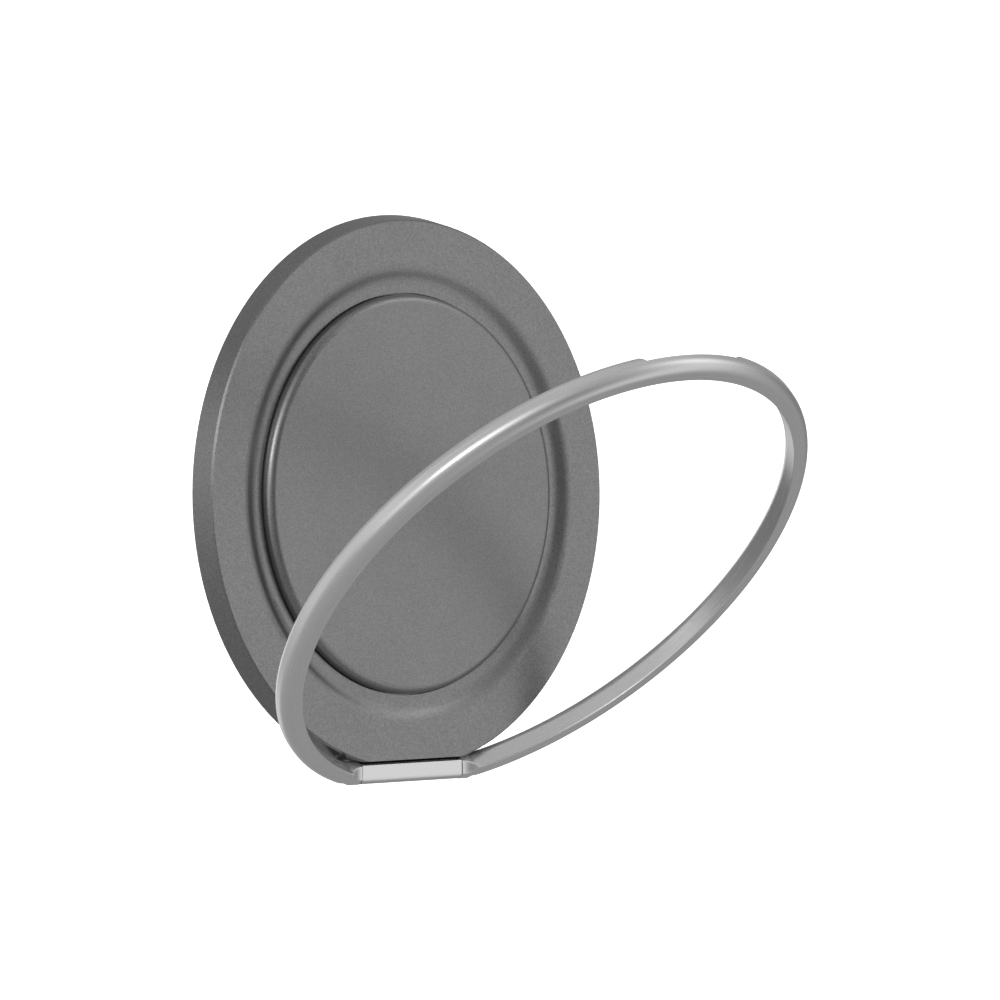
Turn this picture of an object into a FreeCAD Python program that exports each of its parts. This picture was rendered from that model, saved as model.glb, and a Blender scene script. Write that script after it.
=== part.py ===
import FreeCAD, Part
import math
import os

# Phone grip: a slim magnetic disc with a finger ring hinged on the flat at its lower edge.
# Every piece is drawn with the disc lying on its magnet face: x to the right, y towards the top of
# the disc, z out of the front. stand_up() then turns the finished grip upright, front facing -Y.
# All sizes are in millimetres.

# Disc shell
RIM_BACK_R = 28.0            # rim radius at its back edge
RIM_DRAFT = 0.5              # the rim is this much smaller at its front edge
SHELL_T = 2.25               # rim height, back edge to front face
FRONT_CHAMFER = 0.18         # bright break on the front edge
CHORD_CUT = 1.45             # depth of the flat at the hinge, cut into the round rim
FRONT_WALL = 0.45            # metal left in front of the magnet channel
RIM_WALL = 1.0               # metal between the channel and the rim's front edge
COVE_ROOM = 0.12             # room round each ring end where it turns in the shell's flat

# Groove in the front face
GROOVE_LAND = 0.2            # channel wall to the groove's shoulder
GROOVE_WALL_RUN = 2.15       # width of the curved wall
GROOVE_FLOOR_WIDTH = 0.8
GROOVE_DEPTH = 0.6

# Centre cap
CAP_GAP = 0.15               # dark gap all round the cap
CAP_PROUD = 0.5              # height of the cap above the outer annulus
CAP_T = 1.6
CAP_EDGE_R = 0.87
CAP_TAPE_T = 0.1
CAP_TAPE_INSET = 0.8

# Back: cover plate let into the shell, and the soft pad on it
COVER_T = 0.4
COVER_INSET = 0.8            # shell rim left round the cover
COVER_CLEARANCE = 0.05
PAD_T = 0.5
PAD_INSET = 1.0              # pad edge inside the shell's back edge
PAD_EDGE = 0.15              # chamfer of the pad's edge

# Magnet ring
MAGNET_WIDTH = 3.0
MAGNET_COUNT = 16
MAGNET_SPACING = 0.15        # gap between neighbouring segments
MAGNET_CLEARANCE = 0.1       # channel wall to magnet
SHIELD_T = 0.25              # steel flux plate in front of the magnets

# Hinge
BAR_LENGTH = 14.0
BAR_HEIGHT = 1.95
BAR_DEPTH = 1.85
BAR_GAP = 0.31               # visible gap between the bar and the shell's flat
BAR_FRONT_DROP = 0.4         # bar front below the disc front
BAR_LOWER_R = 0.6            # rounding of the lower front edge
BAR_EDGE_R = 0.15
STEP_DROP = 0.5              # step behind the bar's upper edge, which closes the gap
STEP_CLEARANCE = 0.08
PIN_SET_BACK = 0.55          # pin axis behind the bar's front
PIN_DROP = 0.92              # pin axis below the bar's upper face
PIN_R = 0.38
PIN_REACH = 2.4              # pin length inside each ring end
PIN_CHAMFER = 0.08
PIN_RUNNING_CLEARANCE = 0.02
BORE_END_ROOM = 0.2
WASHER_T = 0.08
WASHER_R = 0.8
RING_END_PLAY = 0.02
TONGUE_WIDTH = 12.0
TONGUE_T = 0.6
TONGUE_REACH = 3.0           # tongue length inside the flat
TONGUE_CLEARANCE = 0.1
TONGUE_WALL = 0.7            # metal between the tongue's recess and the magnet channel
NECK_LIFT = 0.1              # neck above the shell's back edge

# Screws that hold the tongue to the shell
SCREW_R = 0.6
SCREW_HEAD_R = 1.0
SCREW_HEAD_T = 0.35
SCREW_LENGTH = 1.2
SCREW_SIDE = 2.0             # screw axis to the tongue's side
SCREW_END = 1.4              # screw axis to the tongue's end
SCREW_TIP_ROOM = 0.1
DRIVE_R = 0.4
DRIVE_DEPTH = 0.2

# Finger ring
RING_GAP = 0.3               # closed ring to the shell's rim
RING_WIDTH = 2.06
RING_T = 2.47
RING_FRONT_DROP = 0.12       # closed ring front below the disc front
RING_CORNER_R = 1.6          # plan rounding where the ring turns into its straight ends
RING_OUTER_FRONT_R = 1.16
RING_OUTER_BACK_R = 0.82
RING_INNER_BACK_R = 0.96
RING_INNER_FRONT = 0.1       # small break on the inner front edge
RING_OPEN_DEG = 45.5         # opening at rest, as in use
BARREL_R = 1.36              # back of each ring end, round the pin
BARREL_LENGTH = 1.6
BARREL_TAPER = 1.4           # length over which the barrel grows into the ring
HEEL_R = 0.6                 # tighter rounding of the outer front edge at the ring ends
HEEL_LENGTH = 2.0
HEEL_RUN_OUT = 0.7           # end of the heel, sloped into the ring
FACET_PROUD = 0.05           # flat on the front of each open ring end, above the bar's front
FACET_LENGTH = 0.1
FACET_RUN_OUT_R = 2.5        # radius by which the flat runs out along the ring
FACET_RUN_OUT_DEG = 60.0
NOTCH_LENGTH = 14.3          # nail notch in the back of the ring, at its top
NOTCH_RAMP = 0.5
NOTCH_DEPTH = 0.88

# Levels and radii that follow from the sizes above
BACK_Z = PAD_T
FRONT_Z = BACK_Z + SHELL_T
COVER_Z = BACK_Z + COVER_T
RIM_FRONT_R = RIM_BACK_R - RIM_DRAFT
CHORD_Y = RIM_BACK_R - CHORD_CUT
COVER_R = RIM_BACK_R - COVER_INSET
COVER_CHORD = CHORD_Y - COVER_INSET
PAD_R = RIM_BACK_R - PAD_INSET
PAD_CHORD = CHORD_Y - PAD_INSET
CHANNEL_OUTER_R = RIM_FRONT_R - RIM_WALL
MAGNET_OUTER_R = CHANNEL_OUTER_R - MAGNET_CLEARANCE
MAGNET_INNER_R = MAGNET_OUTER_R - MAGNET_WIDTH
CHANNEL_INNER_R = MAGNET_INNER_R - MAGNET_CLEARANCE
GROOVE_OUTER_R = CHANNEL_INNER_R - GROOVE_LAND
GROOVE_FLOOR_R = GROOVE_OUTER_R - GROOVE_WALL_RUN
GROOVE_Z = FRONT_Z - GROOVE_DEPTH
CAP_POCKET_R = GROOVE_FLOOR_R - GROOVE_FLOOR_WIDTH
CAP_R = CAP_POCKET_R - CAP_GAP
CAP_TOP_Z = FRONT_Z + CAP_PROUD
CAP_BOTTOM_Z = CAP_TOP_Z - CAP_T
CAP_SEAT_Z = CAP_BOTTOM_Z - CAP_TAPE_T
CHANNEL_TOP_Z = FRONT_Z - FRONT_WALL
SHIELD_Z = CHANNEL_TOP_Z - SHIELD_T
MAGNET_T = SHIELD_Z - COVER_Z
BAR_TOP_Y = -CHORD_Y - BAR_GAP
PIN_Y = BAR_TOP_Y - PIN_DROP
BAR_FRONT_Z = FRONT_Z - BAR_FRONT_DROP
BAR_BACK_Z = BAR_FRONT_Z - BAR_DEPTH
STEP_Z = BAR_FRONT_Z - STEP_DROP
PIN_Z = BAR_FRONT_Z - PIN_SET_BACK
RING_END_X = BAR_LENGTH / 2 + WASHER_T + RING_END_PLAY
PIN_HALF = RING_END_X + PIN_REACH
TONGUE_TOP_Z = COVER_Z + TONGUE_T
SCREW_X = TONGUE_WIDTH / 2 - SCREW_SIDE
SCREW_Y = -CHORD_Y + TONGUE_REACH - SCREW_END
RING_INNER = RIM_BACK_R + RING_GAP
RING_OUTER = RING_INNER + RING_WIDTH
RING_FRONT_Z = FRONT_Z - RING_FRONT_DROP
RING_BACK_Z = RING_FRONT_Z - RING_T
RING_END_TOP_Y = BAR_TOP_Y
RING_END_LOW_Y = BAR_TOP_Y - BAR_HEIGHT

V = FreeCAD.Vector
X_AXIS = V(1, 0, 0)
Z_AXIS = V(0, 0, 1)
FAR = 4 * RIM_BACK_R         # larger than the whole grip, for trimming
PIN_AXIS = V(0, PIN_Y, PIN_Z)


def line(a, b):
    """Straight edge between two (r, z) points of a turned section."""
    return Part.LineSegment(V(a[0], 0, a[1]), V(b[0], 0, b[1])).toShape()


def arc(a, middle, b):
    """Round edge through three (r, z) points of a turned section."""
    points = [V(p[0], 0, p[1]) for p in (a, middle, b)]
    return Part.Arc(*points).toShape()


def turned(edges):
    """Solid of revolution about the disc axis from the edges of a closed half section."""
    face = Part.Face(Part.Wire(Part.__sortEdges__(edges)))
    return face.revolve(V(0, 0, 0), Z_AXIS, 360)


def plate(radius, low_z, high_z, chord):
    """Round plate with the flat that faces the hinge."""
    disc = Part.makeCylinder(radius, high_z - low_z, V(0, 0, low_z))
    return disc.cut(box(-FAR, FAR, -FAR, -chord, low_z, high_z))


def box(x0, x1, y0, y1, z0, z1):
    """Box between two opposite corners."""
    return Part.makeBox(x1 - x0, y1 - y0, z1 - z0, V(x0, y0, z0))


def ring_sector(inner, outer, low_z, high_z, start_deg, end_deg):
    """Flat ring segment between two angles, measured from +x."""
    turn = end_deg - start_deg
    profile = Part.makePolygon([
        V(inner, 0, low_z), V(outer, 0, low_z), V(outer, 0, high_z), V(inner, 0, high_z), V(inner, 0, low_z),
    ])
    segment = Part.Face(profile).revolve(V(0, 0, 0), Z_AXIS, turn)
    segment.rotate(V(0, 0, 0), Z_AXIS, start_deg)
    return segment


def x_rod(radius, x0, x1):
    """Cylinder along the hinge axis."""
    return Part.makeCylinder(radius, x1 - x0, V(x0, PIN_Y, PIN_Z), X_AXIS)


def end_barrel(side, room, start_x):
    """Turned outline of one ring end: a cylinder round the pin that widens into the ring."""
    barrel_x = RING_END_X + BARREL_LENGTH
    x0, x1 = sorted((side * start_x, side * barrel_x))
    foot = V(side * barrel_x, PIN_Y, PIN_Z)
    taper = Part.makeCone(BARREL_R + room, RING_T + room, BARREL_TAPER, foot, V(side, 0, 0))
    return x_rod(BARREL_R + room, x0, x1).fuse(taper)


def edges_where(shape, test):
    """Edges whose every sampled point passes the test."""
    chosen = []
    for edge in shape.Edges:
        points = edge.discretize(7)
        if all(test(p) for p in points):
            chosen.append(edge)
    return chosen


def near(value, target, tolerance=1e-4):
    return abs(value - target) < tolerance


def widest(edge):
    """Largest distance of an edge's points from the disc axis."""
    return max(math.hypot(p.x, p.y) for p in edge.discretize(7))


def matching(shape, wanted):
    """Edges of a reworked shape that lie where the wanted edges were."""
    centres = [edge.CenterOfMass for edge in wanted]
    return [e for e in shape.Edges if any(e.CenterOfMass.isEqual(c, 1e-3) for c in centres)]


def screw_places():
    return [V(side * SCREW_X, SCREW_Y, 0) for side in (-1, 1)]


def magnet_arc():
    """Start and end angle of the magnet ring, which leaves the hinge sector open."""
    half_gap = TONGUE_WIDTH / 2 + TONGUE_CLEARANCE + TONGUE_WALL
    start = -90 + math.degrees(math.asin(half_gap / CHANNEL_INNER_R))
    return start, 180 - start


def groove_wall():
    """S-shaped groove wall: two equal arcs, level at both ends, that meet at half depth."""
    half_run = GROOVE_WALL_RUN / 2
    half_drop = GROOVE_DEPTH / 2
    radius = (half_run ** 2 + half_drop ** 2) / (2 * half_drop)
    half_angle = math.asin(half_run / radius) / 2
    reach = radius * math.sin(half_angle)
    sink = radius * (1 - math.cos(half_angle))
    shoulder = (GROOVE_OUTER_R, FRONT_Z)
    middle = (GROOVE_OUTER_R - half_run, FRONT_Z - half_drop)
    foot = (GROOVE_FLOOR_R, GROOVE_Z)
    upper = arc(shoulder, (GROOVE_OUTER_R - reach, FRONT_Z - sink), middle)
    lower = arc(middle, (GROOVE_FLOOR_R + reach, GROOVE_Z + sink), foot)
    return [upper, lower]


def make_front_shell():
    """Drafted rim, flat annulus, curved groove and cap pocket, with the channel open at the back."""
    rim_back = (RIM_BACK_R, BACK_Z)
    rim_front = (RIM_FRONT_R, FRONT_Z - FRONT_CHAMFER)
    face_edge = (RIM_FRONT_R - FRONT_CHAMFER, FRONT_Z)
    pocket_lip = (CAP_POCKET_R, GROOVE_Z)
    pocket_foot = (CAP_POCKET_R, CAP_SEAT_Z)
    cover_wall = COVER_R + COVER_CLEARANCE
    section = [
        line(rim_back, rim_front),
        line(rim_front, face_edge),
        line(face_edge, (GROOVE_OUTER_R, FRONT_Z)),
        line((GROOVE_FLOOR_R, GROOVE_Z), pocket_lip),
        line(pocket_lip, pocket_foot),
        line(pocket_foot, (0, CAP_SEAT_Z)),
        line((0, CAP_SEAT_Z), (0, BACK_Z)),
        line((0, BACK_Z), rim_back),
    ] + groove_wall()
    shell = turned(section)
    shell = shell.cut(box(-FAR, FAR, -FAR, -CHORD_Y, 0, CAP_TOP_Z))
    cover_chord = COVER_CHORD + COVER_CLEARANCE
    shell = shell.cut(plate(cover_wall, BACK_Z, COVER_Z, cover_chord))
    start, end = magnet_arc()
    shell = shell.cut(ring_sector(CHANNEL_INNER_R, CHANNEL_OUTER_R, COVER_Z, CHANNEL_TOP_Z, start, end))
    tongue_half = TONGUE_WIDTH / 2 + TONGUE_CLEARANCE
    tongue_end = -CHORD_Y + TONGUE_REACH + TONGUE_CLEARANCE
    shell = shell.cut(box(-tongue_half, tongue_half, -FAR, tongue_end, BACK_Z, TONGUE_TOP_Z))
    for side in (-1, 1):
        shell = shell.cut(end_barrel(side, COVE_ROOM, BAR_LENGTH / 2))
    hole_depth = SCREW_LENGTH + SCREW_TIP_ROOM
    for place in screw_places():
        shell = shell.cut(Part.makeCylinder(SCREW_R, hole_depth, place + V(0, 0, COVER_Z)))
    return shell


def make_centre_cap():
    """Round cap with a softly rounded front edge."""
    cap = Part.makeCylinder(CAP_R, CAP_T, V(0, 0, CAP_BOTTOM_Z))
    rim = edges_where(cap, lambda p: near(p.z, CAP_TOP_Z) and near(math.hypot(p.x, p.y), CAP_R))
    return cap.makeFillet(CAP_EDGE_R, rim)


def make_cap_tape():
    """Bonding film that holds the cap in its pocket."""
    return Part.makeCylinder(CAP_R - CAP_TAPE_INSET, CAP_TAPE_T, V(0, 0, CAP_SEAT_Z))


def make_magnet_segments():
    """Equal magnet arcs round the channel, open at the hinge."""
    start, end = magnet_arc()
    pitch = (end - start) / MAGNET_COUNT
    middle_r = (MAGNET_INNER_R + MAGNET_OUTER_R) / 2
    trim = math.degrees(MAGNET_SPACING / middle_r) / 2
    segments = []
    for index in range(MAGNET_COUNT):
        first = start + index * pitch + trim
        last = start + (index + 1) * pitch - trim
        segments.append(ring_sector(MAGNET_INNER_R, MAGNET_OUTER_R, COVER_Z, COVER_Z + MAGNET_T, first, last))
    return Part.makeCompound(segments)


def make_shield_ring():
    """Steel C-ring that closes the field in front of the magnets."""
    start, end = magnet_arc()
    trim = math.degrees(MAGNET_SPACING / MAGNET_INNER_R)
    return ring_sector(MAGNET_INNER_R, MAGNET_OUTER_R, SHIELD_Z, CHANNEL_TOP_Z, start + trim, end - trim)


def make_back_cover():
    """Thin plate that closes the back of the shell."""
    return plate(COVER_R, BACK_Z, COVER_Z, COVER_CHORD)


def make_back_pad():
    """Soft pad that lies against the phone, with a broken edge."""
    pad = plate(PAD_R, 0, PAD_T, PAD_CHORD)
    rim = edges_where(pad, lambda p: near(p.z, 0))
    return pad.makeChamfer(PAD_EDGE, rim)


def make_hinge_bracket():
    """Straight hinge bar with a tongue that runs under the shell behind the flat."""
    half = BAR_LENGTH / 2
    low_y = BAR_TOP_Y - BAR_HEIGHT
    bar = box(-half, half, low_y, BAR_TOP_Y, BAR_BACK_Z, BAR_FRONT_Z)
    lower_front = edges_where(bar, lambda p: near(p.y, low_y) and near(p.z, BAR_FRONT_Z))
    bar = bar.makeFillet(BAR_LOWER_R, lower_front)
    small = edges_where(bar, lambda p: near(p.z, BAR_FRONT_Z) and near(p.y, BAR_TOP_Y))
    small += edges_where(bar, lambda p: near(p.z, BAR_BACK_Z) and near(p.y, low_y))
    bar = bar.makeFillet(BAR_EDGE_R, small)
    width = TONGUE_WIDTH / 2
    neck = box(-width, width, PIN_Y, -COVER_CHORD, BACK_Z + NECK_LIFT, TONGUE_TOP_Z)
    tongue = box(-width, width, -COVER_CHORD, -CHORD_Y + TONGUE_REACH, COVER_Z, TONGUE_TOP_Z)
    neck = neck.cut(box(-width, width, PIN_Y - BAR_HEIGHT, BAR_TOP_Y, 0, BAR_BACK_Z))
    step = box(-half, half, PIN_Y, -CHORD_Y - STEP_CLEARANCE, BAR_BACK_Z, STEP_Z)
    bracket = bar.fuse([step, neck, tongue]).removeSplitter()
    bracket = bracket.cut(x_rod(PIN_R, -FAR, FAR))
    for place in screw_places():
        seat = place + V(0, 0, COVER_Z)
        bracket = bracket.cut(Part.makeCylinder(SCREW_R, TONGUE_T, seat))
        bracket = bracket.cut(Part.makeCylinder(SCREW_HEAD_R, SCREW_HEAD_T, seat))
    return bracket


def make_bracket_screws():
    """Two low-headed screws, driven from behind."""
    screws = []
    for place in screw_places():
        seat = place + V(0, 0, COVER_Z)
        shank = Part.makeCylinder(SCREW_R, SCREW_LENGTH, seat)
        head = Part.makeCylinder(SCREW_HEAD_R, SCREW_HEAD_T, seat)
        drive = Part.makeCylinder(DRIVE_R, DRIVE_DEPTH, seat)
        screws.append(shank.fuse(head).removeSplitter().cut(drive))
    return Part.makeCompound(screws)


def make_hinge_pin():
    """Steel pin pressed through the bar, with both ends free to turn in the ring."""
    pin = x_rod(PIN_R, -PIN_HALF, PIN_HALF)
    ends = edges_where(pin, lambda p: near(abs(p.x), PIN_HALF))
    return pin.makeChamfer(PIN_CHAMFER, ends)


def make_friction_washers():
    """One thin washer between each bar end and ring end."""
    washers = []
    for side in (-1, 1):
        x0, x1 = sorted((side * BAR_LENGTH / 2, side * (BAR_LENGTH / 2 + WASHER_T)))
        washers.append(x_rod(WASHER_R, x0, x1).cut(x_rod(PIN_R, x0, x1)))
    return Part.makeCompound(washers)


def flatted_disc(radius, flat_y):
    """Round plan of the given radius, cut by the flat of the ring's straight ends."""
    disc = Part.makeCylinder(radius, RING_T, V(0, 0, RING_BACK_Z))
    disc = disc.cut(box(-FAR, FAR, -FAR, flat_y, RING_BACK_Z, RING_FRONT_Z))
    corners = edges_where(disc, lambda p: near(p.y, flat_y) and not near(abs(p.x), 0, RING_CORNER_R))
    upright = [e for e in corners if near(e.Vertexes[0].X, e.Vertexes[-1].X)]
    return disc.makeFillet(RING_CORNER_R, upright)


def nail_notch():
    """Room for a fingernail: a cut across the back of the ring that ramps out at both ends."""
    half = NOTCH_LENGTH / 2
    foot = half - NOTCH_RAMP
    floor_z = RING_BACK_Z + NOTCH_DEPTH
    below_z = RING_BACK_Z - NOTCH_DEPTH
    y = RING_INNER - RING_WIDTH
    outline = Part.makePolygon([
        V(-half, y, below_z), V(-half, y, RING_BACK_Z), V(-foot, y, floor_z), V(foot, y, floor_z),
        V(half, y, RING_BACK_Z), V(half, y, below_z), V(-half, y, below_z),
    ])
    return Part.Face(outline).extrude(V(0, 3 * RING_WIDTH, 0))


def barrel_trim():
    """What is taken off the back of both ring ends, so that they turn clear of the shell's flat."""
    taper_x = RING_END_X + BARREL_LENGTH + BARREL_TAPER
    zone = box(-taper_x, taper_x, -FAR, 0, RING_BACK_Z - RING_T, PIN_Z)
    return zone.cut([end_barrel(-1, 0, 0), end_barrel(1, 0, 0)])


def heel(side):
    """Block that fills out the outer front edge of one ring end, sloped into the ring at its far end."""
    x0, x1 = sorted((side * RING_END_X, side * (RING_END_X + HEEL_LENGTH)))
    block = box(x0, x1, RING_END_LOW_Y, PIN_Y, PIN_Z, RING_FRONT_Z)
    edge = edges_where(block, lambda p: near(p.y, RING_END_LOW_Y) and near(p.z, RING_FRONT_Z))
    block = block.makeFillet(HEEL_R, edge)
    far_x = side * (RING_END_X + HEEL_LENGTH)

    def far_rim(p):
        return near(p.x, far_x) and not near(p.y, PIN_Y) and not near(p.z, PIN_Z)

    rim = [e for e in block.Edges if far_rim(e.CenterOfMass)]
    return block.makeChamfer(HEEL_RUN_OUT, rim)


def end_facet(side):
    """Cut on the front of one open ring end: level with the bar, then sloped out along the ring."""
    low_z = BAR_FRONT_Z + FACET_PROUD
    flat_x = RING_END_X + FACET_LENGTH

    def run_out(degrees):
        angle = math.radians(degrees)
        x = flat_x + FACET_RUN_OUT_R * math.sin(angle)
        z = low_z + FACET_RUN_OUT_R * (1 - math.cos(angle))
        return side * x, z

    start = (side * BAR_LENGTH / 2, low_z)
    flat_end = run_out(0)
    out = run_out(FACET_RUN_OUT_DEG)
    corner = (start[0], out[1])
    outline = Part.Wire([
        line(start, flat_end),
        arc(flat_end, run_out(FACET_RUN_OUT_DEG / 2), out),
        line(out, corner),
        line(corner, start),
    ])
    cut = Part.Face(outline).extrude(V(0, 2 * RING_WIDTH, 0))
    cut.translate(V(0, PIN_Y - RING_WIDTH, 0))
    return cut


def make_grip_ring():
    """Finger ring with round outer edges and straight pivot ends, opened to its position in use."""
    outer = flatted_disc(RING_OUTER, RING_END_LOW_Y)
    inner = flatted_disc(RING_INNER, RING_END_TOP_Y)
    ring = outer.cut(inner)
    middle_r = (RING_INNER + RING_OUTER) / 2

    def outside(p):
        return math.hypot(p.x, p.y) > middle_r or p.y < PIN_Y

    def loop(side_z, wanted_outside):
        return edges_where(ring, lambda p: near(p.z, side_z) and outside(p) == wanted_outside)

    outer_back = loop(RING_BACK_Z, True)
    inner_back = loop(RING_BACK_Z, False)
    ring = ring.makeFillet(RING_OUTER_FRONT_R, loop(RING_FRONT_Z, True))
    ring = ring.makeFillet(RING_OUTER_BACK_R, matching(ring, outer_back))
    ring = ring.makeFillet(RING_INNER_BACK_R, matching(ring, inner_back))
    inner_front = [e for e in loop(RING_FRONT_Z, False) if widest(e) < RING_INNER + RING_END_PLAY]
    ring = ring.makeChamfer(RING_INNER_FRONT, inner_front)
    ring = ring.cut(nail_notch())
    ring = ring.cut(barrel_trim())
    ring = ring.cut(box(-RING_END_X, RING_END_X, -FAR, 0, 0, CAP_TOP_Z))
    ring = ring.fuse([heel(-1), heel(1)]).removeSplitter()
    bore_r = PIN_R + PIN_RUNNING_CLEARANCE
    bore_end = PIN_HALF + BORE_END_ROOM
    ring = ring.cut(x_rod(bore_r, -bore_end, bore_end))
    ring.rotate(PIN_AXIS, X_AXIS, RING_OPEN_DEG)
    return ring.cut([end_facet(-1), end_facet(1)])


def stand_up(shape):
    """Turn the finished piece upright: disc top to +Z, front to -Y."""
    shape.rotate(V(0, 0, 0), X_AXIS, 90)
    return shape


PIECES = {
    "front_shell": make_front_shell,
    "centre_cap": make_centre_cap,
    "cap_tape": make_cap_tape,
    "magnet_segments": make_magnet_segments,
    "shield_ring": make_shield_ring,
    "back_cover": make_back_cover,
    "back_pad": make_back_pad,
    "hinge_bracket": make_hinge_bracket,
    "bracket_screws": make_bracket_screws,
    "hinge_pin": make_hinge_pin,
    "friction_washers": make_friction_washers,
    "grip_ring": make_grip_ring,
}

os.makedirs("parts", exist_ok=True)
for node, make in PIECES.items():
    piece = stand_up(make())
    piece.exportStep("parts/" + node + ".step")
    print(node, len(piece.Solids), piece.isValid(), round(piece.Volume, 3))
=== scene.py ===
import math

import bmesh
import bpy
import numpy as np
from mathutils import Matrix, Vector


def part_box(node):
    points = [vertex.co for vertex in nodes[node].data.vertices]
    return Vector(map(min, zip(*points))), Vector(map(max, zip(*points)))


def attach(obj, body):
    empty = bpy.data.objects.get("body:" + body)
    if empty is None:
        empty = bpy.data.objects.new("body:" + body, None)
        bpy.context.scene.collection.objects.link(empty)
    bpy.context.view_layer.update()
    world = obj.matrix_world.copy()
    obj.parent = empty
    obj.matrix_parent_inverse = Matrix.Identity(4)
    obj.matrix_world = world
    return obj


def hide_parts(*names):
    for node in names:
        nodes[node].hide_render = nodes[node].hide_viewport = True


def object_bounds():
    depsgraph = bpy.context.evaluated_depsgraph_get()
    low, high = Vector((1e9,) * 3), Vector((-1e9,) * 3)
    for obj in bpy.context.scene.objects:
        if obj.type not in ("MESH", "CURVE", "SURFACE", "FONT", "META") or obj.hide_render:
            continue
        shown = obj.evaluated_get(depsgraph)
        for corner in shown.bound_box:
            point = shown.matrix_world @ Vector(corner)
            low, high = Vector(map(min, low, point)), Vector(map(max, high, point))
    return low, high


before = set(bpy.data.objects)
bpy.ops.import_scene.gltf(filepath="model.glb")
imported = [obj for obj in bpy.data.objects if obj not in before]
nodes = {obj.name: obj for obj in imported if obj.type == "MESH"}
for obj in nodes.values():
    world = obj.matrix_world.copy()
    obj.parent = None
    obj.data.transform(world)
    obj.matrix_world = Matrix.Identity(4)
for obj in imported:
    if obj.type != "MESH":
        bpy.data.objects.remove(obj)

cad_low, cad_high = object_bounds()

# Lengths are metres, angles degrees, and the frame is the model's own: front faces -Y, top is +Z.
MM = 0.001
FRONT_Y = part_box("front_shell")[0].y

# Floor and backdrop in one sweep
FLOOR_DROP = 0.06
FLOOR_CENTRE_R = 0.001
SWEEP_R = 6.0
SWEEP_BEND = 2.0
SWEEP_STEPS = 24
SWEEP_SIDES = 96
SWEEP_TONES = (0.90, 0.92)
SWEEP_CLOUD = 0.5
SWEEP_ROUGH = 0.9
SWEEP_GLOW = 0.9

# Camera, found from the outlines of the disc and the ring
CAMERA_YAW = 45.42
CAMERA_LIFT = 0.91
CAMERA_ROLL = 1.06
CAMERA_DISTANCE = 1.0
CLIP_START = CAMERA_DISTANCE / 100
CLIP_END = SWEEP_R * 4
IMAGE_PX = 1000
DISC_CENTRE_PX = (410.2, 494.0)
PX_PER_METRE = 9990.0
SENSOR_MM = 36.0

# Soft lights and dark cards of the studio: azimuth, elevation, half width, brightness
SOFT_LIGHTS = {
    "key over the hinge side": (-50, 28, 16, 1.7),
    "core of the key": (-62, 22, 7, 5.5),
    "low side panel": (-75, 0, 15, 0.8),
    "rim panel": (-105, 20, 18, 0.5),
    "disc panel, upper": (55, 33, 15, 1.4),
    "disc panel, middle": (45, 0, 15, 0.65),
    "disc panel, lower": (40, -28, 15, 0.6),
    "back panel": (165, 0, 15, 1.0),
    "low back panel": (-140, -5, 20, 0.45),
    "overhead": (0, 88, 20, 0.3),
    "dark card, hinge side": (-5, 0, 15, -0.25),
    "dark card, far side": (95, 0, 15, -0.25),
}
BASE_LIGHT = 0.36

# Cloudy patterns: nearly all of their values lie in this range
NOISE_LOW = 0.3
NOISE_HIGH = 0.7

# Satin metals: a roughness cloud is this many grains wide
CLOUD_GRAINS = 40

# Soft skins of fine pebbles; the flatness is a pebble's width over its depth
PEBBLE_DETAIL = 4.0
PEBBLE_SPREAD = 0.2
PEBBLE_ROUGH = (0.62, 0.74)
PEBBLE_FLATNESS = 6
PEBBLE_STRENGTH = 0.5

# Silver of the hinge bar and the ring
SILVER = 0.64

# Hinge bar: silver up to the line of its upper edge, black above it as painted shade for the dark gap
# between bar and disc; the tongue above takes the same black
BAR_GAP = 0.30 * MM
BAR_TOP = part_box("front_shell")[0].z - BAR_GAP
BAR_GRAIN = 0.18 * MM
BAR_SPREAD = 0.03
BAR_ROUGH = 0.24
BAR_RELIEF = BAR_GRAIN / 30
BAR_STRENGTH = 0.1
# Painted shade: near-black tone and its roughness above the bar's upper edge, standing in for the shaded
# gap
PAINTED_SHADE_BLACK = 0.012
PAINTED_SHADE_ROUGH = 0.6
PAINTED_SHADE_EDGE_HALF = BAR_GRAIN / 8

# Ring's brushed finish
RING_METAL = 0.66
RING_SPREAD = 0.015
RING_ROUGH = (0.23, 0.28)
STREAK_LENGTH = 9.0 * MM
STREAK_WIDTH = 0.07 * MM
STREAK_RELIEF = STREAK_WIDTH / 25
STREAK_STRENGTH = 0.03

# Finger ring, lying closed: x to the right, y to the top of the disc, z to the front
RING_OPEN = 45.5
RING_WIDTH = 2.06 * MM
RING_DEPTH = 2.47 * MM
RING_OUTER = -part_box("grip_ring")[0].x
RING_INNER = RING_OUTER - RING_WIDTH
RING_END = 7.1 * MM
RING_END_HEIGHT = 1.95 * MM
RING_CORNER = 1.6 * MM
RING_BACK = 0.16 * MM
OUTER_FRONT_R = 1.16 * MM
OUTER_BACK_R = 0.82 * MM
INNER_BACK_R = 0.96 * MM
INNER_FRONT_R = 0.1 * MM

# Ring's pivot ends: a fuller heel, a cylinder about the pin, and flats level with the bar
PIN_Y = -27.78 * MM
PIN_Z = 1.8 * MM
PIN_DROP = 0.92 * MM
HEEL_R = 0.6 * MM
HEEL_END = 8.4 * MM
HEEL_RUN_OUT = 0.7 * MM
BARREL_R = 1.36 * MM
BARREL_END = 8.7 * MM
BARREL_TAPER = 1.4 * MM
FLAT_Z = 2.4 * MM
FLAT_END = 7.2 * MM
FLAT_RUN_OUT_R = 2.5 * MM

# Ring's nail notch
NOTCH_HALF = 7.15 * MM
NOTCH_RAMP = 0.5 * MM
NOTCH_DEPTH = 0.88 * MM

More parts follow.
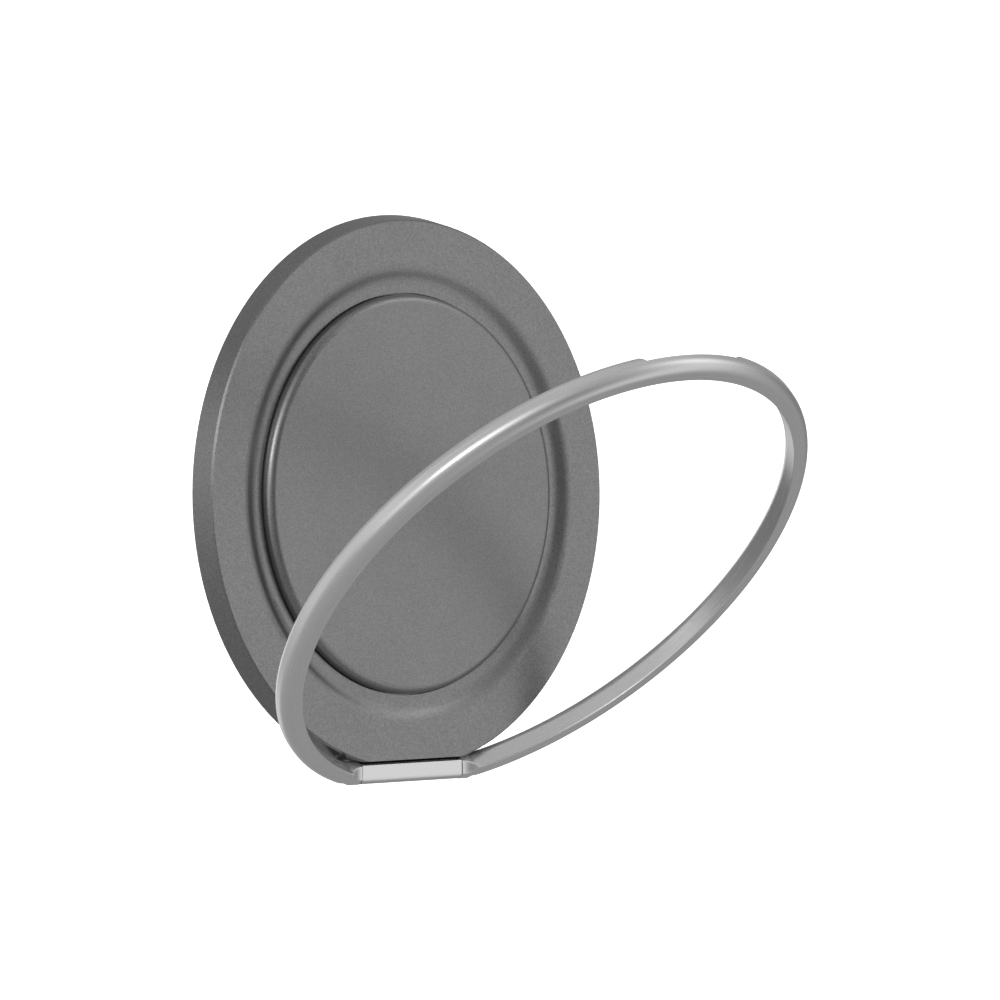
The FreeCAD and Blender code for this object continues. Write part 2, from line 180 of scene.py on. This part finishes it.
# Ring's points: the legs of its loop end past the corner, before and after the notch's ramp, and at the top
STRAIGHT_POINTS = 44
CORNER_POINTS = 24
LEG_ENDS = (-64, 74.5, 79, 90)
LEG_POINTS = (36, 110, 40, 16)
ROUNDING_POINTS = 24
EDGE_POINTS = 4
FACE_POINTS = 12
MERGE_DISTANCE = 0.0005 * MM
RING_EDGE_ANGLE = 40

# Washers at the ends of the hinge bar
PIN_R = 0.38 * MM
BAR_HALF = 7.0 * MM
WASHER_R = 0.8 * MM
WASHER_SUNK = 0.05 * MM
WASHER_SIDES = 96


def photo_camera():
    """Long lens aimed at the disc's front face; it slides in its own picture plane to frame the object."""
    yaw, lift, roll = (math.radians(a) for a in (CAMERA_YAW, CAMERA_LIFT, CAMERA_ROLL))
    back = Vector((-math.sin(yaw) * math.cos(lift), -math.cos(yaw) * math.cos(lift), math.sin(lift)))
    level_right = (-back).cross(Vector((0, 0, 1))).normalized()
    level_up = level_right.cross(-back)
    right = level_right * math.cos(roll) - level_up * math.sin(roll)
    up = level_right * math.sin(roll) + level_up * math.cos(roll)
    slide_x, slide_y = ((p - IMAGE_PX / 2) / PX_PER_METRE for p in DISC_CENTRE_PX)
    place = Vector((0, FRONT_Y, 0)) + back * CAMERA_DISTANCE - right * slide_x + up * slide_y
    data = bpy.data.cameras.new("photo_camera")
    data.sensor_width = SENSOR_MM
    data.lens = PX_PER_METRE * CAMERA_DISTANCE * SENSOR_MM / IMAGE_PX
    data.clip_start = CLIP_START
    data.clip_end = CLIP_END
    camera = bpy.data.objects.new("photo_camera", data)
    bpy.context.scene.collection.objects.link(camera)
    camera.matrix_world = Matrix((
        (right.x, up.x, back.x, place.x),
        (right.y, up.y, back.y, place.y),
        (right.z, up.z, back.z, place.z),
        (0, 0, 0, 1),
    ))
    bpy.context.scene.camera = camera


def start_material(name):
    """New node material: returns it with its node tree, its main shader and its Object coordinates."""
    material = bpy.data.materials.new(name)
    material.use_nodes = True
    tree = material.node_tree
    shader = tree.nodes["Principled BSDF"]
    coordinates = tree.nodes.new("ShaderNodeTexCoord").outputs["Object"]
    return material, tree, shader, coordinates


def noise(tree, coordinates, size, detail=2.0):
    """Cloudy pattern whose blotches are about the given size."""
    node = tree.nodes.new("ShaderNodeTexNoise")
    node.inputs["Scale"].default_value = 1 / size
    node.inputs["Detail"].default_value = detail
    tree.links.new(coordinates, node.inputs["Vector"])
    return node.outputs["Fac"]


def between(tree, value, low, high, from_low=NOISE_LOW, from_high=NOISE_HIGH):
    """Pattern value spread over a new range, from low to high."""
    node = tree.nodes.new("ShaderNodeMapRange")
    node.inputs["From Min"].default_value = from_low
    node.inputs["From Max"].default_value = from_high
    node.inputs["To Min"].default_value = low
    node.inputs["To Max"].default_value = high
    tree.links.new(value, node.inputs["Value"])
    return node.outputs["Result"]


def two_tone(tree, value, first, second):
    """Grey that runs from the first tone to the second with a pattern value from 0 to 1."""
    node = tree.nodes.new("ShaderNodeMix")
    node.data_type = "RGBA"
    node.inputs["A"].default_value = (first, first, first, 1)
    node.inputs["B"].default_value = (second, second, second, 1)
    tree.links.new(value, node.inputs["Factor"])
    return node.outputs["Result"]


def varied_grey(tree, value, tone, spread):
    """Grey that strays to both sides of a tone with a pattern value; the spread is a share of the tone."""
    return two_tone(tree, value, tone * (1 - spread), tone * (1 + spread))


def relief(tree, shader, height, depth, strength):
    """Fine surface relief of the given depth from a pattern value."""
    node = tree.nodes.new("ShaderNodeBump")
    node.inputs["Distance"].default_value = depth
    node.inputs["Strength"].default_value = strength
    tree.links.new(height, node.inputs["Height"])
    tree.links.new(node.outputs["Normal"], shader.inputs["Normal"])


def satin_metal(name, tone, spread, grain, rough, depth, strength=0.1, metal=1.0):
    """Metal with a fine even grain in tone and relief, and with wider clouds in roughness."""
    material, tree, shader, coordinates = start_material(name)
    speckle = noise(tree, coordinates, grain)
    colour = varied_grey(tree, between(tree, speckle, 0, 1), tone, spread)
    tree.links.new(colour, shader.inputs["Base Color"])
    cloud = noise(tree, coordinates, grain * CLOUD_GRAINS)
    tree.links.new(between(tree, cloud, *rough), shader.inputs["Roughness"])
    shader.inputs["Metallic"].default_value = metal
    relief(tree, shader, speckle, depth, strength)
    return material


def hinge_metal():
    """Satin silver on the bar; the step behind its upper edge and the tongue are painted black, as shade
    for the dark gap there.
    """
    material, tree, shader, coordinates = start_material("bar_silver_painted_shade")
    speckle = noise(tree, coordinates, BAR_GRAIN)
    place = tree.nodes.new("ShaderNodeSeparateXYZ")
    tree.links.new(coordinates, place.inputs["Vector"])
    line_low, line_high = BAR_TOP - PAINTED_SHADE_EDGE_HALF, BAR_TOP + PAINTED_SHADE_EDGE_HALF
    # Painted shade: black above the line of the bar's upper edge, for the shaded gap behind it
    painted_shade = between(tree, place.outputs["Z"], 0, 1, line_low, line_high)
    silver = varied_grey(tree, between(tree, speckle, 0, 1), SILVER, BAR_SPREAD)
    colour = two_tone(tree, painted_shade, SILVER, PAINTED_SHADE_BLACK)
    tree.links.new(silver, colour.node.inputs["A"])
    tree.links.new(colour, shader.inputs["Base Color"])
    rough = between(tree, painted_shade, BAR_ROUGH, PAINTED_SHADE_ROUGH, 0, 1)
    tree.links.new(rough, shader.inputs["Roughness"])
    shader.inputs["Metallic"].default_value = 1.0
    relief(tree, shader, speckle, BAR_RELIEF, BAR_STRENGTH)
    return material


def brushed_silver():
    """Satin silver brushed along the ring: long thin streaks in tone, roughness and relief."""
    material, tree, shader, coordinates = start_material("brushed_silver")
    stretch = tree.nodes.new("ShaderNodeVectorMath")
    stretch.operation = "MULTIPLY"
    stretch.inputs[1].default_value = (1 / STREAK_LENGTH, 1 / STREAK_WIDTH, 1)
    tree.links.new(coordinates.node.outputs["UV"], stretch.inputs[0])
    streak = noise(tree, stretch.outputs["Vector"], size=1.0)
    colour = varied_grey(tree, between(tree, streak, 0, 1), SILVER, RING_SPREAD)
    tree.links.new(colour, shader.inputs["Base Color"])
    tree.links.new(between(tree, streak, *RING_ROUGH), shader.inputs["Roughness"])
    shader.inputs["Metallic"].default_value = RING_METAL
    relief(tree, shader, streak, STREAK_RELIEF, STREAK_STRENGTH)
    return material


def soft_rubber(name, tone, grain):
    """Matte soft skin with fine pebbles."""
    material, tree, shader, coordinates = start_material(name)
    pebble = noise(tree, coordinates, grain, PEBBLE_DETAIL)
    tree.links.new(varied_grey(tree, pebble, tone, PEBBLE_SPREAD), shader.inputs["Base Color"])
    tree.links.new(between(tree, pebble, *PEBBLE_ROUGH), shader.inputs["Roughness"])
    relief(tree, shader, pebble, grain / PEBBLE_FLATNESS, PEBBLE_STRENGTH)
    return material


def sweep_paint():
    """Pale matte paint with faint wide clouds, and a glow of its own that keeps the floor light."""
    material, tree, shader, coordinates = start_material("sweep_paint")
    cloud = noise(tree, coordinates, SWEEP_CLOUD)
    tree.links.new(two_tone(tree, cloud, *SWEEP_TONES), shader.inputs["Base Color"])
    shader.inputs["Roughness"].default_value = SWEEP_ROUGH
    shader.inputs["Specular IOR Level"].default_value = 0.0
    shader.inputs["Emission Color"].default_value = (1, 1, 1, 1)
    shader.inputs["Emission Strength"].default_value = SWEEP_GLOW
    return material


def dress():
    """Gives each solid that is shown its finish."""
    blasted = satin_metal(
        "blasted_grey", tone=0.23, spread=0.22, grain=0.14 * MM, rough=(0.28, 0.32), depth=0.010 * MM,
        strength=0.25, metal=0.85,
    )
    nickel = satin_metal(
        "nickel_plate", tone=0.60, spread=0.05, grain=0.3 * MM, rough=(0.18, 0.24), depth=0.004 * MM,
    )
    shield_steel = satin_metal(
        "shield_steel", tone=0.45, spread=0.06, grain=0.3 * MM, rough=(0.30, 0.36), depth=0.006 * MM,
    )
    screw_steel = satin_metal(
        "screw_steel", tone=0.50, spread=0.06, grain=0.1 * MM, rough=(0.28, 0.34), depth=0.004 * MM,
    )
    pin_steel = satin_metal(
        "pin_steel", tone=0.55, spread=0.04, grain=0.1 * MM, rough=(0.20, 0.26), depth=0.003 * MM,
    )
    finishes = {
        "front_shell": blasted,
        "centre_cap": blasted,
        "hinge_bracket": hinge_metal(),
        "magnet_segments": nickel,
        "shield_ring": shield_steel,
        "bracket_screws": screw_steel,
        "hinge_pin": pin_steel,
        "back_pad": soft_rubber("pad_rubber", tone=0.03, grain=0.35 * MM),
        "back_cover": soft_rubber("cover_skin", tone=0.05, grain=0.2 * MM),
        "cap_tape": soft_rubber("bonding_film", tone=0.08, grain=0.4 * MM),
    }
    for node, finish in finishes.items():
        slots = nodes[node].data.materials
        slots.clear()
        slots.append(finish)


def grid_faces(rows, columns, joined=False):
    """Four-cornered faces over a grid of points; a row closes on itself, and joined rows close up too."""
    steps = rows if joined else rows - 1
    row, column = np.meshgrid(np.arange(steps), np.arange(columns), indexing="ij")
    after = (column + 1) % columns
    first, second = row * columns, (row + 1) % rows * columns
    corners = [first + column, first + after, second + after, second + column]
    return np.stack(corners, axis=-1).reshape(-1, 4)


def new_piece(name, points, faces):
    """Mesh object at the origin, with its place in its points."""
    mesh = bpy.data.meshes.new(name)
    mesh.from_pydata(points.reshape(-1, 3).tolist(), [], faces)
    piece = bpy.data.objects.new(name, mesh)
    bpy.context.scene.collection.objects.link(piece)
    return piece


def ring_outline(radius, flat):
    """One edge of the ring in plan, from its right end round to its left.

    The right half is a straight end at the flat's height, an arc round the corner and the circle up to the
    top, in legs that each have their own spacing. The left half is its mirror image.
    """
    corner_x = math.sqrt((radius - RING_CORNER) ** 2 - (flat + RING_CORNER) ** 2)
    join = math.atan2(flat + RING_CORNER, corner_x)
    straight = np.linspace(RING_END, corner_x, STRAIGHT_POINTS)[:-1]
    bend = np.linspace(-np.pi / 2, join, CORNER_POINTS)[:-1]
    marks = np.append(join, np.radians(LEG_ENDS))
    legs = [np.linspace(a, b, n, endpoint=False) for a, b, n in zip(marks, marks[1:], LEG_POINTS)]
    turn = np.append(np.concatenate(legs), marks[-1])
    corner_y = flat + RING_CORNER * (1 + np.sin(bend))
    x = np.concatenate([straight, corner_x + RING_CORNER * np.cos(bend), radius * np.cos(turn)])
    y = np.concatenate([0 * straight + flat, corner_y, radius * np.sin(turn)])
    return np.stack([np.append(x, -x[-2::-1]), np.append(y, y[-2::-1])], axis=-1)


def ring_section(width, outer_front):
    """Rounded oblong for every station: distance from the inner face and height from the back.

    Four quarter circles, from the outer front by way of the back to the inner front, with straight faces
    between them.
    """
    quarter = np.linspace(0, np.pi / 2, ROUNDING_POINTS)
    sine, cosine = np.sin(quarter), np.cos(quarter)
    edge = np.linspace(0, np.pi / 2, EDGE_POINTS)
    far = width[:, None]
    front_r = outer_front[:, None]
    near = 0 * far
    corners = [
        (far - front_r + front_r * sine, RING_DEPTH - front_r + front_r * cosine),
        (far - OUTER_BACK_R + OUTER_BACK_R * cosine, near + OUTER_BACK_R - OUTER_BACK_R * sine),
        (near + INNER_BACK_R - INNER_BACK_R * sine, near + INNER_BACK_R - INNER_BACK_R * cosine),
        (near + INNER_FRONT_R - INNER_FRONT_R * np.cos(edge),
         near + RING_DEPTH - INNER_FRONT_R + INNER_FRONT_R * np.sin(edge)),
    ]
    part_way = np.linspace(0, 1, FACE_POINTS)[1:-1]
    out, up = [], []
    for here, after in zip(corners, corners[1:] + corners[:1]):
        for kept, start, end in zip((out, up), here, after):
            kept.append(start)
            kept.append(start[:, -1:] + (end[:, :1] - start[:, -1:]) * part_way)
    return np.concatenate(out, axis=1), np.concatenate(up, axis=1)


def closed_ring():
    """Ring lying closed, without its turned ends: x, y and z of its points, and the way round its section.

    The rounded oblong is carried along the plan between the inner and the outer edge, with a smaller outer
    rounding at the heels. At the top the back is raised to the floor and the ramps of the nail notch.
    """
    end_top = PIN_Y + PIN_DROP
    inner = ring_outline(RING_INNER, end_top)
    outer = ring_outline(RING_OUTER, end_top - RING_END_HEIGHT)
    across = outer - inner
    width = np.hypot(across[:, 0], across[:, 1])
    run_out = np.clip((np.abs(outer[:, 0]) - HEEL_END) / HEEL_RUN_OUT, 0, 1)
    heel = HEEL_R + (OUTER_FRONT_R - HEEL_R) * run_out
    out, up = ring_section(width, np.where(outer[:, 1] < 0, heel, OUTER_FRONT_R))
    plan = inner[:, None, :] + across[:, None, :] * (out / width[:, None])[:, :, None]
    x, y, z = plan[..., 0], plan[..., 1], RING_BACK + up
    notch = RING_BACK + NOTCH_DEPTH * np.clip((NOTCH_HALF - np.abs(x)) / NOTCH_RAMP, 0, 1)
    z = np.where(y > 0, np.maximum(z, notch), z)
    top = len(width) // 2
    girth = np.append(0, np.cumsum(np.hypot(np.diff(out[top]), np.diff(up[top]))))
    return x, y, z, girth


def draw_in_ends(x, y, z):
    """Distances from the pin, with the back of each end drawn in to a cylinder.

    The cylinder lies about the pin and widens along the ring, to the end of its taper.
    """
    off = np.abs(x)
    dy, dz = y - PIN_Y, z - PIN_Z
    barrel = BARREL_R + (RING_DEPTH - BARREL_R) * np.clip((off - BARREL_END) / BARREL_TAPER, 0, 1)
    at_end = (y < 0) & (z < PIN_Z) & (off < BARREL_END + BARREL_TAPER)
    share = np.where(at_end, np.minimum(barrel / np.hypot(dy, dz), 1), 1)
    return dy * share, dz * share


def open_ring(x, dy, dz, low_side):
    """Ring turned open about the pin, with its ends then flattened level with the bar.

    Each flat runs out in an arc, away from the end.
    """
    turn = math.radians(RING_OPEN)
    off = np.abs(x)
    open_y = PIN_Y + dy * math.cos(turn) - dz * math.sin(turn)
    open_z = PIN_Z + dy * math.sin(turn) + dz * math.cos(turn)
    run = np.clip(off - FLAT_END, 0, FLAT_RUN_OUT_R)
    level = FLAT_Z + FLAT_RUN_OUT_R - np.sqrt(FLAT_RUN_OUT_R ** 2 - run ** 2)
    at_end = low_side & (off < FLAT_END + FLAT_RUN_OUT_R)
    open_z = np.where(at_end, np.minimum(open_z, level), open_z)
    return np.stack([x, -open_z, open_y], axis=-1)


def map_streaks(mesh, points, girth):
    """UV map in metres: the way along the ring, and the way round its section."""
    middle = points.mean(axis=1)
    along = np.append(0, np.cumsum(np.linalg.norm(np.diff(middle, axis=0), axis=1)))
    spread = np.stack(np.meshgrid(along, girth, indexing="ij"), axis=-1).reshape(-1, 2)
    corner_vertex = np.zeros(len(mesh.loops), dtype=np.int32)
    mesh.loops.foreach_get("vertex_index", corner_vertex)
    layer = mesh.uv_layers.new(name="UVMap")
    layer.uv.foreach_set("vector", spread[corner_vertex].astype(np.float32).ravel())


def merge_points(mesh):
    """Points that fall together become one, which takes away the faces of no area."""
    merged = bmesh.new()
    merged.from_mesh(mesh)
    bmesh.ops.remove_doubles(merged, verts=merged.verts, dist=MERGE_DISTANCE)
    merged.to_mesh(mesh)
    merged.free()


def finger_ring():
    """Finger ring with its turned ends and nail notch.

    Surface: a rounded oblong section carried along the ring's plan from one pivot end, round the loop, to
    the other. The back is raised for the nail notch, the ends are drawn in to a cylinder about the pin, the
    whole is turned open about the pin, and the open ends are then flattened level with the bar.
    """
    x, y, z, girth = closed_ring()
    dy, dz = draw_in_ends(x, y, z)
    points = open_ring(x, dy, dz, y < 0)
    stations, around = x.shape
    right_end = np.arange(around)[::-1].tolist()
    left_end = (np.arange(around) + (stations - 1) * around).tolist()
    piece = new_piece("finger_ring", points, grid_faces(stations, around).tolist() + [right_end, left_end])
    mesh = piece.data
    map_streaks(mesh, points, girth)
    merge_points(mesh)
    mesh.shade_smooth()
    mesh.set_sharp_from_angle(angle=math.radians(RING_EDGE_ANGLE))
    mesh.materials.append(brushed_silver())
    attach(piece, "ring")
    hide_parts("grip_ring")


def washer_pair():
    """Friction washers at the bar's ends, their fronts just below the bar's.

    Turned surface: a small oblong section taken round the pin, with its front flattened. The left washer is
    the right one's mirror image.
    """
    low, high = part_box("friction_washers")
    pin = (low + high) / 2
    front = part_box("hinge_bracket")[0].y + WASHER_SUNK
    radius = np.array([PIN_R, WASHER_R, WASHER_R, PIN_R])
    place = np.array([BAR_HALF, BAR_HALF, high.x, high.x])
    turn = np.linspace(0, 2 * np.pi, WASHER_SIDES, endpoint=False)
    right = np.stack(np.broadcast_arrays(
        place[None, :],
        np.maximum(pin.y - radius[None, :] * np.cos(turn)[:, None], front),
        pin.z + radius[None, :] * np.sin(turn)[:, None],
    ), axis=-1).reshape(-1, 3)
    right_faces = grid_faces(WASHER_SIDES, len(radius), joined=True)
    points = np.concatenate([right, right * (-1, 1, 1)])
    faces = np.concatenate([right_faces, right_faces[:, ::-1] + len(right)])
    piece = new_piece("washer_pair", points, faces.tolist())
    piece.data.materials.append(soft_rubber("washer_polymer", tone=0.12, grain=0.15 * MM))
    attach(piece, "base")
    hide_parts("friction_washers")


def studio_sweep():
    """Pale floor that curves up into a round wall.

    Turned surface: a flat floor, a quarter round and an upright wall, taken round the vertical axis. Only
    the camera sees it, so it neither lights nor shades the object.
    """
    level = cad_low.z - FLOOR_DROP
    bend = np.linspace(0, np.pi / 2, SWEEP_STEPS)
    bend_radius = SWEEP_R - SWEEP_BEND + SWEEP_BEND * np.sin(bend)
    radius = np.concatenate([[FLOOR_CENTRE_R], bend_radius, [SWEEP_R]])
    height = np.concatenate([[0], SWEEP_BEND * (1 - np.cos(bend)), [SWEEP_R]]) + level
    turn = np.linspace(0, 2 * np.pi, SWEEP_SIDES, endpoint=False)
    x, y = (radius[:, None] * part(turn)[None, :] for part in (np.cos, np.sin))
    z = np.broadcast_to(height[:, None], x.shape)
    centre = np.arange(SWEEP_SIDES)[::-1].tolist()
    faces = grid_faces(len(radius), SWEEP_SIDES).tolist() + [centre]
    piece = new_piece("studio_sweep", np.stack([x, y, z], axis=-1), faces)
    piece.data.shade_smooth()
    piece.data.materials.append(sweep_paint())
    piece.visible_glossy = False
    piece.visible_diffuse = False
    piece.visible_shadow = False


def bearing(azimuth, elevation):
    """Unit direction: azimuth from the front (-Y) towards +X, elevation above the horizon."""
    a, e = math.radians(azimuth), math.radians(elevation)
    return (math.sin(a) * math.cos(e), -math.cos(a) * math.cos(e), math.sin(e))


def soft_light(tree, direction, azimuth, elevation, half_width):
    """Bell-shaped glow about a bearing: 1 at its middle, and a half at the half width."""
    aim = tree.nodes.new("ShaderNodeVectorMath")
    aim.operation = "DOT_PRODUCT"
    aim.inputs[1].default_value = bearing(azimuth, elevation)
    tree.links.new(direction, aim.inputs[0])
    sharpness = math.log(2) / (1 - math.cos(math.radians(half_width)))
    power = tree.nodes.new("ShaderNodeMath")
    power.operation = "MULTIPLY_ADD"
    power.inputs[1].default_value = sharpness
    power.inputs[2].default_value = -sharpness
    tree.links.new(aim.outputs["Value"], power.inputs[0])
    glow = tree.nodes.new("ShaderNodeMath")
    glow.operation = "EXPONENT"
    tree.links.new(power.outputs["Value"], glow.inputs[0])
    return glow.outputs["Value"]


def studio():
    """World light: a low even base plus every soft light; a dark card takes light away in the same way."""
    world = bpy.data.worlds.new("studio")
    world.use_nodes = True
    bpy.context.scene.world = world
    tree = world.node_tree
    direction = tree.nodes.new("ShaderNodeTexCoord").outputs["Generated"]
    total = None
    for azimuth, elevation, half_width, brightness in SOFT_LIGHTS.values():
        glow = soft_light(tree, direction, azimuth, elevation, half_width)
        add = tree.nodes.new("ShaderNodeMath")
        add.operation = "MULTIPLY_ADD"
        add.inputs[1].default_value = brightness
        add.inputs[2].default_value = BASE_LIGHT
        tree.links.new(glow, add.inputs[0])
        if total is not None:
            tree.links.new(total, add.inputs[2])
        total = add.outputs["Value"]
    tree.links.new(total, tree.nodes["Background"].inputs["Color"])


photo_camera()
dress()
finger_ring()
washer_pair()
studio_sweep()
studio()
bpy.context.scene.view_settings.view_transform = "Standard"
